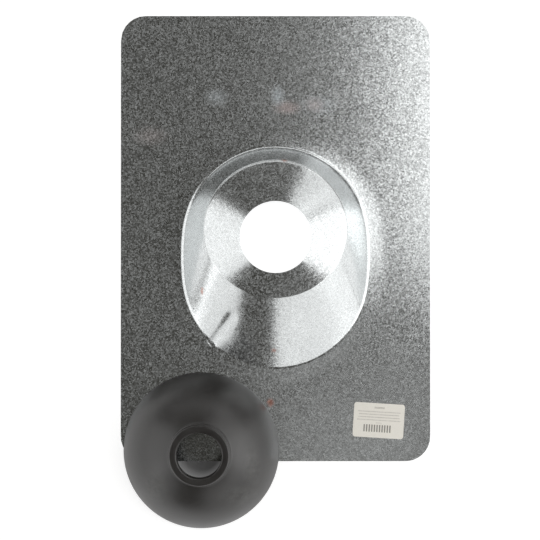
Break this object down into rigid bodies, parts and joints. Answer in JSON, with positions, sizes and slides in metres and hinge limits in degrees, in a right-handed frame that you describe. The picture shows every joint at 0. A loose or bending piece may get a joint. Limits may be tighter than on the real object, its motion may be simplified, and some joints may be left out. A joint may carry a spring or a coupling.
{
  "type": "pipe flashing boot",
  "caption": "Roof flashing for a vent pipe: a galvanised steel base plate with a drawn oval dome, with its loose domed rubber pipe collar and a blank paper label.",
  "frame": {"origin": "on the axis of the pipe hole, in the plane of the base plate's underside", "axes": "+Z along the pipe hole's axis, away from the roof; +Y up the roof's slope, along the plate's length; +X across the plate"},
  "size_m": [0.3174, 0.5256, 0.0666],
  "materials": {
    "galvanised_steel": "hot-dip galvanised sheet with a fine grey spangle",
    "black_rubber": "matt moulded rubber",
    "cream_paper": "matt self-adhesive paper"
  },
  "bodies": {
    "root": {"base_plate": "galvanised_steel", "rubber_collar": "black_rubber", "paper_label": "cream_paper"}
  },
  "joints": []
}
